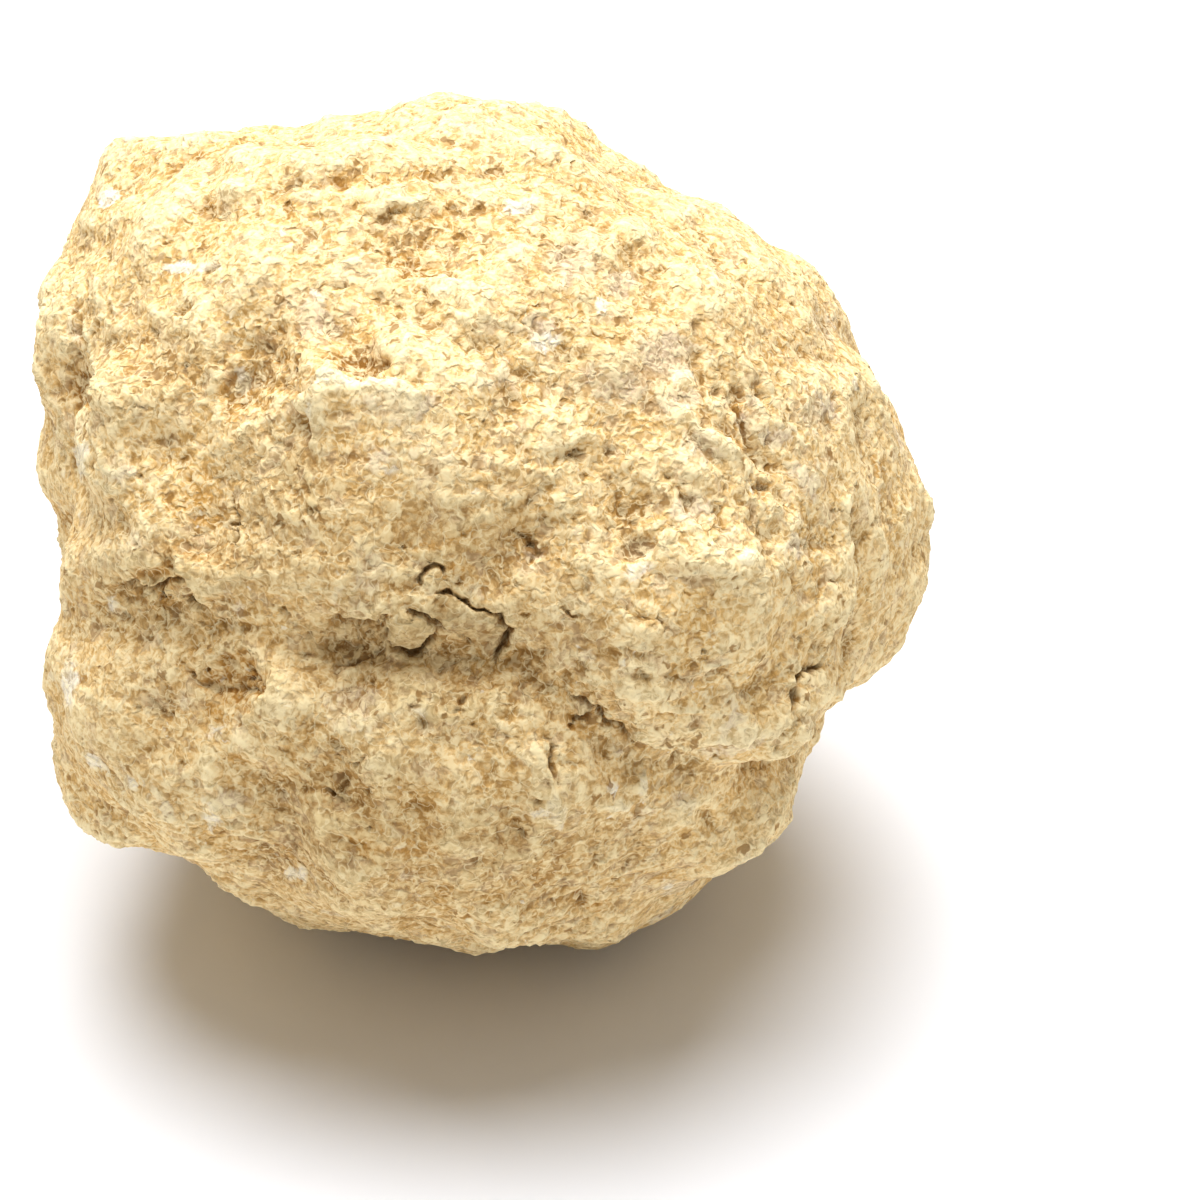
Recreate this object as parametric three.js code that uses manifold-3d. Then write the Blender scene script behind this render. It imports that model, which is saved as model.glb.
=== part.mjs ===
// A whole, unbroken geode: one lumpy, crumbly nodule, about 59 mm wide, that rests on a small worn spot.
// Millimetres, +Z up. The stone's face, with the knob at its upper left and the crease round its waist,
// looks towards -Y. The origin is under the middle of the stone, on the plane that it rests on.
import * as THREE from "three";
import { ImprovedNoise } from "three/addons/math/ImprovedNoise.js";
import { mergeVertices } from "three/addons/utils/BufferGeometryUtils.js";
import Module from "manifold-3d";

// Driving dimensions
const CENTRE_HEIGHT = 27.3; // from the rest plane to the point that the stone is built around
const FACE_TILT = 30; // degrees that the face leans back: the outline below is measured square to it
const DEPTH_FRONT = 27.5; // from the centre out to the face
const DEPTH_BACK = 30; // from the centre out to the back
const FULLNESS = 2.25; // 2 would make every section through the depth an ellipse, more is boxier
const KNOB_REACH = 0.4; // how far the outline's knobs run on over the form, as a sine of the angle off its rim
const NOTCH_REACH = 0.5; // the same for its notches
const DRIFT = 0.7; // how far they wander round the form on the way, as radians at the middle of the face
const ROUNDING = 25; // degrees either way over which the outline is averaged beyond that
const SPHERE_DETAIL = 21; // 20 * (detail + 1)^2 facets before the rest spot is trimmed

// The outline seen square to the face, as [right, up] from the centre, anticlockwise from the right lobe.
const OUTLINE = [
  // right lobe and the long slope above it
  [29.2, -1], [28.3, 1.5], [27, 4.7], [25.7, 9], [24.2, 11.7], [23.8, 13.7], [20.6, 17.1], [15, 20.4],
  [12.3, 21.5], [11.2, 22.6], [8.7, 24], [4.4, 26.3],
  // crown
  [3.2, 27.2], [-0.2, 27.4], [-5.2, 27.3], [-10, 26.6], [-11.9, 25.4],
  // saddle, then the knob at the upper left
  [-15, 25.2], [-18.2, 25.1], [-21.3, 25.6], [-23.5, 24.8], [-24.6, 21.8], [-26.9, 19.8],
  // left flank, down to the notch where the crease meets it
  [-28.8, 16.2], [-28.9, 13.7], [-27.9, 10.5], [-28.7, 5.5], [-27.7, 2.6], [-26.4, -2.4], [-26.4, -3.8],
  // lower lobe: toe, underside and the long curve back up to the right
  [-27.6, -6.5], [-29.2, -12.2], [-28, -17.4], [-26.2, -19], [-18.9, -21.5], [-15.4, -24.6], [-11.6, -26.5],
  [-5, -27.1], [2, -27.7], [6, -28], [9.3, -26.7], [13.4, -24.1], [15.2, -22.2], [18.8, -20.2],
  [20.1, -17.5], [20.8, -14.6],
  // right notch, under the right lobe
  [21.7, -11.7], [24.3, -9.3], [26.1, -8.4], [28.1, -5.2],
];

// Lumps and hollows: where the middle lies on the stone as [right, up] square to the face, how far it
// reaches, and how high it stands. A hollow has a negative height.
const FACE_SWELLS = [
  { at: [13, -5.5], reach: 8, height: 2.4 }, // belly above the crease
  { at: [-4.5, 4], reach: 6.5, height: 1.6 }, // smooth plate left of the middle
  { at: [-9.5, 8.6], reach: 2.4, height: 1.3 }, // corner of the ledge on top of that plate
  { at: [-5.5, 8.8], reach: 2.4, height: 0.8 }, // ledge, running right from the corner
  { at: [-21, 6.6], reach: 4, height: 1 }, // left cheek
  { at: [-20, -0.6], reach: 4.5, height: 1.5 }, // left cheek, where it overhangs the crease
  { at: [-22.5, 15.6], reach: 4, height: 0.8 }, // left shoulder
  { at: [-23, 24], reach: 3.5, height: 1.8 }, // knob at the upper left
  { at: [2, 20.5], reach: 7, height: 0.8 }, // brow under the crown
  { at: [-26, -13], reach: 5, height: 1.2 }, // toe of the lower lobe
  { at: [-3.4, -19], reach: 8, height: 1.6 }, // front of the lower lobe
  { at: [13.5, -19], reach: 5.5, height: 0.7 }, // lower lobe, right
  { at: [-3.8, 17.6], reach: 3.4, height: -1.8 }, // bowl near the top
  { at: [-8, 11], reach: 2.3, height: -1.2 }, // recess over the ledge
  { at: [-13.8, 10.6], reach: 3, height: -1.4 }, // recess left of the ledge
  { at: [-20.5, 10.8], reach: 2.6, height: -0.8 }, // dip between shoulder and cheek
  { at: [-17.2, -10], reach: 2.8, height: -1.8 }, // ochre hollow in the lower lobe
  { at: [-8.6, -7.3], reach: 2.8, height: -1.9 }, // deepest part of the crease
  { at: [-1.6, -7.6], reach: 3.2, height: -1.1 }, // where loose flakes sit
  { at: [6.8, -12.3], reach: 2.4, height: -1.3 }, // pitted end of the belly
  { at: [2.8, -1.5], reach: 1.8, height: -1.1 }, // dark hollow between plate and belly
];
const BACK_SWELLS = [
  { at: [10, 9], reach: 9, height: 1.8 },
  { at: [-12, 10], reach: 8, height: 1.4 },
  { at: [-6, -10], reach: 8, height: 1.6 },
  { at: [15, -9], reach: 7, height: 1 },
  { at: [-21, -4], reach: 5, height: 1 },
  { at: [2, 2], reach: 5, height: -1.8 },
  { at: [-16, 1], reach: 3.6, height: -1.2 },
  { at: [18, 1], reach: 4, height: -1.2 },
  { at: [4, 19], reach: 4, height: -1.2 },
];

// Grooves: points along the bottom as [right, up] square to the face, half the width, the depth, and how far
// the side on the left of the route stands proud as a lip.
const FACE_GROOVES = [
  {
    // the crease round the waist, from the left notch to the right one
    route: [
      [-26.4, -3.8], [-25.6, -4.1], [-23.4, -4.2], [-18.9, -4.7], [-14.4, -6], [-10, -7.4], [-4.1, -7.9], [1, -8.6],
      [4.9, -10.8], [7.6, -13.6], [12.6, -15.2], [17.7, -14.2], [21.4, -11.8],
    ],
    width: 1.5,
    depth: 1.7,
    lip: 0.7,
  },
  // between the belly and the right lobe
  { route: [[23.4, 6], [24, 0.2], [23.4, -4.9], [22, -9], [21.2, -11.6]], width: 1.3, depth: 1.1, lip: 0 },
  // diagonal on the right slope
  { route: [[13, 9], [16, 5.4], [18.4, 1.2], [19.6, -2]], width: 1.2, depth: 0.9, lip: 0 },
  // behind the left cheek
  { route: [[-25.6, 15], [-26.1, 11], [-25.4, 6.6], [-25.8, 3], [-25.6, -2]], width: 1.2, depth: 1, lip: 0 },
  // between the left cheek and the plate
  { route: [[-17, 8.5], [-16.2, 4], [-15.8, -1.5]], width: 1.6, depth: 0.7, lip: 0 },
  // over the top of the belly
  { route: [[2.4, -0.4], [6, -0.6], [10.5, 1], [15.5, 0.4]], width: 1.2, depth: 0.7, lip: 0 },
  // under the bright ledge that runs across the top
  { route: [[-12, 19.6], [-6, 20.6], [-1, 21], [4, 21.4]], width: 1.2, depth: 0.7, lip: 0.5 },
  // two wavy ledges low on the belly
  { route: [[8.5, -11.6], [12, -12.4], [16, -11.8]], width: 0.9, depth: 0.6, lip: 0.4 },
  { route: [[9, -9.6], [12.5, -9.9], [15, -9.4]], width: 0.9, depth: 0.4, lip: 0.3 },
];
const BACK_GROOVES = [
  // the crease goes on round the back
  {
    route: [
      [-26.4, -3.8], [-25.8, -1.2], [-20, -5.5], [-14, -4.5], [-6, -8], [3, -4.5], [11, -2], [18, -6],
      [21.7, -11.7],
    ],
    width: 1.8,
    depth: 1.5,
    lip: 0.5,
  },
  { route: [[-8, 20], [-5, 13], [-6, 6], [-3, 0]], width: 1.5, depth: 1, lip: 0 },
];

// Roughness all over, coarsest first: the size of one lump and how far it stands out.
const ROUGHNESS = [
  { size: 10, height: 1.6 },
  { size: 4.6, height: 0.9 },
];
const WARP = 2.5; // how far the lumps are pushed about, so that no two are alike
const WARP_SIZE = 7;
const RIM_CALM = 0.5; // share of the roughness held back at the rim, and how far from it, as KNOB_REACH
const RIM_CALM_REACH = 0.3;
const INSET = 0.7; // taken off the outline, because the roughness beside the rim stands past it
const SEED = [15.3, 12.4]; // picks the run of the noise
const DRIFT_SIZE = 0.45; // size of one wander, on a ball of radius 1
// Smoother places, as the share of the roughness that they lose.
const CALM_SPOTS = [
  { at: [-4.5, 3], reach: 7, share: 0.8 },
  { at: [0, -19], reach: 9, share: 0.4 },
  { at: [14, 9], reach: 8, share: 0.5 },
];

const TURN = 360;
const radians = THREE.MathUtils.degToRad;
const centre = new THREE.Vector3(0, 0, CENTRE_HEIGHT);
const faceRight = new THREE.Vector3(1, 0, 0);
const faceOut = new THREE.Vector3(0, -Math.cos(radians(FACE_TILT)), Math.sin(radians(FACE_TILT)));
const faceUp = new THREE.Vector3().crossVectors(faceOut, faceRight);

// The outline as a radius for each degree round it, and the same with its knobs and notches averaged out.
function outlineRadii() {
  const curve = new THREE.CatmullRomCurve3(
    OUTLINE.map(([right, up]) => new THREE.Vector3(right, up, 0)), true, "centripetal",
  );
  const points = curve.getPoints(4 * TURN);
  const nearestTo = (degree) => {
    const ray = new THREE.Vector3(Math.cos(radians(degree)), Math.sin(radians(degree)), 0);
    return points.reduce((best, p) => (p.angleTo(ray) < best.angleTo(ray) ? p : best)).length();
  };
  const exact = Array.from({ length: TURN }, (_, degree) => nearestTo(degree));
  const rounded = exact.map((_, degree) => {
    let sum = 0;
    for (let d = -ROUNDING; d <= ROUNDING; d++) sum += exact[(degree + d + TURN) % TURN];
    return sum / (2 * ROUNDING + 1);
  });
  return { exact, rounded };
}
const { exact, rounded } = outlineRadii();

// Reads one of those lists at any angle, in radians.
function radiusAt(angle, radii) {
  const degree = (THREE.MathUtils.radToDeg(angle) + TURN) % TURN;
  const low = Math.floor(degree) % TURN;
  return THREE.MathUtils.lerp(radii[low], radii[(low + 1) % TURN], degree - Math.floor(degree));
}

const noise = new ImprovedNoise();
const noiseAt = (p, size, offset) => noise.noise(p.x / size + offset, p.y / size - offset, p.z / size + 2 * offset);

const bell = (distance, reach) => Math.exp(-((distance / reach) ** 2));

// The plain form: the outline swept out to the depths, with no relief. Takes a unit direction. The outline's
// knobs and notches belong to the rim, and die away towards the face and the back.
function plainRadius(direction) {
  const right = direction.dot(faceRight);
  const up = direction.dot(faceUp);
  const out = direction.dot(faceOut);
  const angle = Math.atan2(up, right) + DRIFT * out * noiseAt(direction, DRIFT_SIZE, 3.3);
  const change = radiusAt(angle, exact) - radiusAt(angle, rounded);
  const rim = radiusAt(angle, rounded) + change * bell(out, change > 0 ? KNOB_REACH : NOTCH_REACH) - INSET;
  const depth = Math.abs(out) / (out > 0 ? DEPTH_FRONT : DEPTH_BACK);
  return ((Math.hypot(right, up) / rim) ** FULLNESS + depth ** FULLNESS) ** (-1 / FULLNESS);
}

// The point of the plain form that shows at [right, up], on the face or on the back, from the centre.
function pointAt([right, up], onFace) {
  const share = Math.min(Math.hypot(right, up) / radiusAt(Math.atan2(up, right), exact), 1);
  const depth = (onFace ? DEPTH_FRONT : -DEPTH_BACK) * (1 - share ** FULLNESS) ** (1 / FULLNESS);
  return new THREE.Vector3()
    .addScaledVector(faceRight, right)
    .addScaledVector(faceUp, up)
    .addScaledVector(faceOut, depth);
}

const swells = [
  ...FACE_SWELLS.map((s) => ({ ...s, middle: pointAt(s.at, true) })),
  ...BACK_SWELLS.map((s) => ({ ...s, middle: pointAt(s.at, false) })),
];
const grooves = [
  ...FACE_GROOVES.map((g) => ({ ...g, points: g.route.map((at) => pointAt(at, true)) })),
  ...BACK_GROOVES.map((g) => ({ ...g, points: g.route.map((at) => pointAt(at, false)) })),
];

const CALM = CALM_SPOTS.map((c) => ({ ...c, middle: pointAt(c.at, true) }));

function swellHeight(point) {
  return swells.reduce((sum, s) => sum + s.height * bell(point.distanceTo(s.middle), s.reach), 0);
}

// A groove's cut at a point, with its lip on the left of the route as seen from outside.
function grooveHeight(point, groove) {
  const nearest = new THREE.Vector3();
  const line = new THREE.Line3();
  let distance = Infinity;
  let side = 0;
  for (let i = 1; i < groove.points.length; i++) {
    line.set(groove.points[i - 1], groove.points[i]).closestPointToPoint(point, true, nearest);
    const away = point.distanceTo(nearest);
    if (away < distance) {
      const along = line.delta(new THREE.Vector3());
      distance = away;
      side = new THREE.Vector3().crossVectors(point, along).dot(point.clone().sub(nearest)) > 0 ? 1 : -1;
    }
  }
  const lip = side > 0 ? groove.lip * bell(distance - 1.7 * groove.width, 1.1 * groove.width) : 0;
  return lip - groove.depth * bell(distance, groove.width);
}

// Round-topped lumps with creases between them, about level with the plain form on average.
function roughHeight(point) {
  const warped = point.clone();
  warped.x += WARP * noiseAt(point, WARP_SIZE, 11.3);
  warped.y += WARP * noiseAt(point, WARP_SIZE, 23.9);
  warped.z += WARP * noiseAt(point, WARP_SIZE, 37.1);
  const calm = CALM.reduce((most, c) => Math.max(most, c.share * bell(point.distanceTo(c.middle), c.reach)), 0);
  const sum = ROUGHNESS.reduce(
    (total, { size, height }, i) => total + height * (2 * Math.abs(noiseAt(warped, size, SEED[i])) - 0.45), 0,
  );
  return (1 - calm) * sum;
}

// Where the stone's surface lies in a direction from the centre. The outline is already true to the stone, so
// the roughness is held back beside it.
function surfacePoint(direction) {
  const plain = direction.clone().multiplyScalar(plainRadius(direction));
  const share = 1 - RIM_CALM * bell(direction.dot(faceOut), RIM_CALM_REACH);
  const cut = grooves.reduce((sum, g) => sum + grooveHeight(plain, g), 0);
  const height = swellHeight(plain) + cut + share * roughHeight(plain);
  return plain.addScaledVector(direction, height).add(centre);
}

// A ball of even triangles, each corner pulled out to the stone's surface.
function stoneGeometry() {
  const ball = new THREE.IcosahedronGeometry(1, SPHERE_DETAIL);
  ball.deleteAttribute("normal");
  ball.deleteAttribute("uv");
  const geometry = mergeVertices(ball, 1e-4);
  const position = geometry.getAttribute("position");
  const direction = new THREE.Vector3();
  for (let i = 0; i < position.count; i++) {
    const p = surfacePoint(direction.fromBufferAttribute(position, i).normalize());
    position.setXYZ(i, p.x, p.y, p.z);
  }
  return geometry;
}

const wasm = await Module();
wasm.setup();
const solidOf = (geometry) =>
  new wasm.Manifold(
    new wasm.Mesh({
      numProp: 3,
      vertProperties: geometry.getAttribute("position").array,
      triVerts: new Uint32Array(geometry.index.array),
    }),
  );

// Trims the stone flat where it rests, and puts the origin under the middle of what is left.
function restOnGround(geometry) {
  const reach = 200;
  const above = new THREE.BoxGeometry(reach, reach, reach).translate(0, 0, reach / 2);
  above.deleteAttribute("normal");
  above.deleteAttribute("uv");
  const { numProp, vertProperties, triVerts } = solidOf(geometry).intersect(solidOf(mergeVertices(above))).getMesh();
  const trimmed = new THREE.BufferGeometry()
    .setAttribute("position", new THREE.BufferAttribute(vertProperties, numProp))
    .setIndex(new THREE.BufferAttribute(triVerts, 1));
  trimmed.computeBoundingBox();
  const middle = trimmed.boundingBox.getCenter(new THREE.Vector3());
  return trimmed.translate(-middle.x, -middle.y, 0);
}

const stone = new THREE.MeshStandardMaterial({ color: 0xdcc294, roughness: 0.93, metalness: 0 });
const geode = new THREE.Mesh(restOnGround(stoneGeometry()), stone);
geode.name = "geode";
geode.geometry.computeVertexNormals();

const part = new THREE.Group();
part.name = "geode_part";
part.add(geode);
export default part;
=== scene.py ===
"""The looks of a whole, unbroken geode: a fine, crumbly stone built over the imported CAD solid.

Lengths are in millimetres in the numbers below, and in metres once they reach Blender.
"""

import math

import bmesh
import bpy
import numpy as np
from mathutils import Matrix, Vector, noise


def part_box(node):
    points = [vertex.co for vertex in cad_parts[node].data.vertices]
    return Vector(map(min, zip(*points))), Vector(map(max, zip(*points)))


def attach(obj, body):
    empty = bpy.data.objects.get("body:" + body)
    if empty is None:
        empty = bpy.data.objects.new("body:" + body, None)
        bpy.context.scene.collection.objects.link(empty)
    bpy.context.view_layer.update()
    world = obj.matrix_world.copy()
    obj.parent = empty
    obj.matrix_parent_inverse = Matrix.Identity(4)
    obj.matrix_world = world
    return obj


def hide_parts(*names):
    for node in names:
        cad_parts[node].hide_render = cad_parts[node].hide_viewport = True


MM = 0.001

# Noise vectors start from random offsets. This seed makes them the same in every run.
NOISE_SEED = 1
noise.seed_set(NOISE_SEED)

# The camera, at the photograph's viewing angle
CAMERA_PLACE = (-0.25, -188.35, 136.6)
CAMERA_DOWN = math.radians(31.45)
CAMERA_RIGHT = math.radians(2.29)
SENSOR = 36.0
LENS = 100.92
CLIP_START = 10
CLIP_END = 20_000

# The stage: a pale floor, one wide, soft light from above, and a sky that fills the shadows
FLOOR_HALF_WIDTH = 3000
FLOOR_GREY = 0.82
FLOOR_ROUGHNESS = 0.9
LIGHT_PLACE = Vector((-30, 110, 700))
LIGHT_AIM = Vector((0, 0, 25))
LIGHT_WIDTH = 700
LIGHT_POWER = 9.4
LIGHT_TINT = (0.98, 1.0, 1.06)
SKY_TINT = (1.0, 0.98, 0.94, 1.0)
SKY_STRENGTH = 0.36

# A place on the stone's face is [right, up] from its centre, on a plane that leans back by the tilt.
FACE_CENTRE = np.array((0.0, 0.0, 27.3))
FACE_TILT = math.radians(30)
FACE_RIGHT = np.array((1.0, 0.0, 0.0))
FACE_OUT = np.array((0.0, -math.cos(FACE_TILT), math.sin(FACE_TILT)))
FACE_UP = np.cross(FACE_OUT, FACE_RIGHT)
# The marks of the face fade out where the surface turns away from it. These are the cosines of that turn
# where none and all of a mark shows.
FACING_SLOPES = (-0.4, -0.1)

# The fine mesh: the size of its faces, how near a crack they are split, and how many triangles are left in
# the end
VOXEL = 0.31
SPLIT_REACH = 0.5
TRIANGLES = 190_000
# Corners of the solid's faces that are nearer to each other than this are one point.
MERGE_REACH = 0.001

# The solid's edges are rounded off before the relief is laid on. At each step a point is pulled this share
# of the way to the middle of its neighbours. Some steps are taken everywhere, and then more in soft spots.
ROUNDING_PULL = 0.5
ROUNDING_STEPS = 18
SOFT_SPOT_STEPS = 160
# How far a point stands out is measured from a smoothed copy. Few steps show crumbs, and many show lumps.
SMOOTHING_PULL = 0.6
RELIEF_STEPS = 16
SWELL_STEPS = 160
# The relief grows from nothing, where the stone rests, to all of it at this height.
FOOT_HEIGHT = 1.5

# The bare surface: its layers and lumps are wider than they are tall, and a drift leaves nothing straight.
BEDDING = np.array((0.9, 0.9, 1.25))
DRIFT_SIZE = 2.1
DRIFT_REACH = 0.8
# Its layers are terraces between the contour lines of two noises: how many lines each noise adds and its
# size, where on the way from one line to the next the step is, and how high it is
CONTOURS = ((5.5, 6.0), (0.7, 1.6))
LAYER_STEP = (0.4, 0.6)
LAYER_HEIGHT = 0.24
# Its lumps, crumbs and grit: the size, how many noises make one up, its mean value, and how high it is
LUMPINESS = {"size": 3.4, "octaves": 3, "mean": 0.4, "height": 0.34}
CRUMBS = {"size": 1.1, "mean": 0.5, "height": 0.17}
GRIT = {"size": 0.75, "octaves": 2, "mean": 0.6, "height": 0.24}
# All of them are weaker in wide patches, down to this share where a noise is low.
ROUGH_PATCHES = {"size": 7.0, "shift": 5.0, "low": -0.25, "high": 0.3, "least": 0.5}
# Ragged pits open where a noise is high, and more of them in the pitted spots and where the grit is high.
RAGGED_PITS = {"size": 0.9, "shift": 17.0, "low": 0.4, "high": 0.7, "depth": 0.35}
PITTED_GAIN = 0.3
GRIT_GAIN = 0.5

# How far the routes and spots below wander, and over what lengths, so that no edge is smooth or straight
WANDERS = ((0.25, 1.8), (0.3, 0.7), (0.12, 0.3))
# How steeply a spot falls off at its half widths
ROUND = 2
FLAT_TOPPED = 3
# A ledge or crack tapers off over this length at each end, or over a third of a short one.
TAPER_LENGTH = 0.7
# A ledge's edge is this wide on either side of its route, and this share of its step is sunk on its right.
LEDGE_EDGE = 0.2
LEDGE_SINK = 0.4
# How deep a crack still is at its very ends
CRACK_END_SHARE = 0.2
# Ledges: the left side of each route stands proud by the step, which fades away over the reach.
LEDGES = [
    # Under the belly
    {"route": [(8.6, -14.1), (10.3, -14.6), (11.5, -14.9), (14.5, -14.6), (16.2, -15.0), (17.8, -14.2)],
     "step": 0.6, "reach": 2.0},
    {"route": [(10.0, -12.1), (11.0, -12.5), (12.0, -12.7), (13.9, -12.3)], "step": 0.45, "reach": 1.0},
    {"route": [(7.5, -11.2), (9.4, -11.7), (11.5, -11.7), (13.2, -11.3)], "step": 0.3, "reach": 1.0},
    {"route": [(8.7, -10.2), (9.5, -9.9), (10.5, -10.4)], "step": 0.4, "reach": 0.8},
    {"route": [(13.4, -10.2), (14.8, -9.9), (16.0, -9.4)], "step": 0.4, "reach": 0.8},
    {"route": [(11.5, -9.4), (13.5, -9.0), (16.4, -8.5)], "step": 0.25, "reach": 1.0},
    {"route": [(8.6, -8.5), (10.0, -8.6), (11.2, -8.2)], "step": 0.25, "reach": 0.8},
    # Round the crease at the left
    {"route": [(-24.2, -3.2), (-23.0, -3.5), (-21.6, -3.7), (-20.2, -3.4)], "step": 0.6, "reach": 0.9},
    {"route": [(-20.7, -1.3), (-20.3, -2.6), (-19.3, -3.9), (-18.4, -5.2)], "step": 0.6, "reach": 1.8},
    {"route": [(-17.3, -3.6), (-16.2, -3.4), (-15.2, -3.3), (-14.0, -3.8)], "step": 0.3, "reach": 1.0},
    {"route": [(-18.4, -5.6), (-16.6, -5.8), (-15.4, -6.3), (-14.2, -6.1)], "step": 0.3, "reach": 1.0},
    # Round the ochre hollow of the lower lobe
    {"route": [(-14.3, -8.6), (-14.6, -10.0), (-15.4, -11.3), (-16.3, -12.6)], "step": 0.6, "reach": 1.4},
    {"route": [(-18.0, -8.3), (-16.2, -7.9), (-14.8, -8.4)], "step": 0.35, "reach": 0.9},
    # Over the dark hollow
    {"route": [(-10.6, -6.5), (-9.4, -6.6), (-8.4, -6.8), (-7.4, -6.3), (-6.4, -6.0)],
     "step": 0.4, "reach": 0.8},
    # Round the smooth plate
    {"route": [(-3.6, 8.7), (-6.2, 9.6), (-8.6, 9.5), (-10.0, 10.6), (-11.6, 9.0), (-12.8, 7.8)],
     "step": 0.8, "reach": 2.6},
    {"route": [(-11.4, 9.2), (-11.2, 7.4), (-11.3, 5.8), (-11.6, 4.6)], "step": 0.5, "reach": 1.8},
    # Round the bowl at the top
    {"route": [(0.5, 15.6), (-1.8, 15.9), (-3.4, 16.1), (-4.9, 16.0), (-6.8, 17.0)],
     "step": 0.6, "reach": 1.8},
    {"route": [(-7.0, 19.8), (-4.6, 20.6), (-2.5, 20.4), (0.5, 20.7)], "step": 0.35, "reach": 1.3},
    {"route": [(2.5, 22.1), (-1.0, 22.0), (-6.0, 22.1), (-9.5, 21.9), (-12.5, 21.4), (-14.6, 20.6)],
     "step": 0.3, "reach": 1.6},
    # Beside the crease down the left edge
    {"route": [(-25.9, 14.0), (-25.7, 12.2), (-25.2, 10.8), (-25.2, 9.2), (-25.8, 7.8)],
     "step": 0.7, "reach": 1.3},
    # The rim of the grey hollow over the belly
    {"route": [(12.6, -0.7), (11.2, -1.4), (10.2, -2.3), (8.6, -2.9)], "step": 0.5, "reach": 1.3},
    # Down the slope at the right
    {"route": [(19.4, 0.4), (18.4, 1.4), (17.4, 2.7), (16.9, 4.5), (16.2, 6.4), (15.2, 8.4)],
     "step": 0.6, "reach": 1.4},
    {"route": [(21.2, -5.8), (21.3, -4.2), (21.0, -2.6)], "step": 0.3, "reach": 0.9},
    {"route": [(22.1, -8.4), (23.4, -6.3), (23.9, -4.2), (23.9, -2.0), (23.6, 0.0), (23.9, 1.8)],
     "step": 0.5, "reach": 1.5},
]
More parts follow.
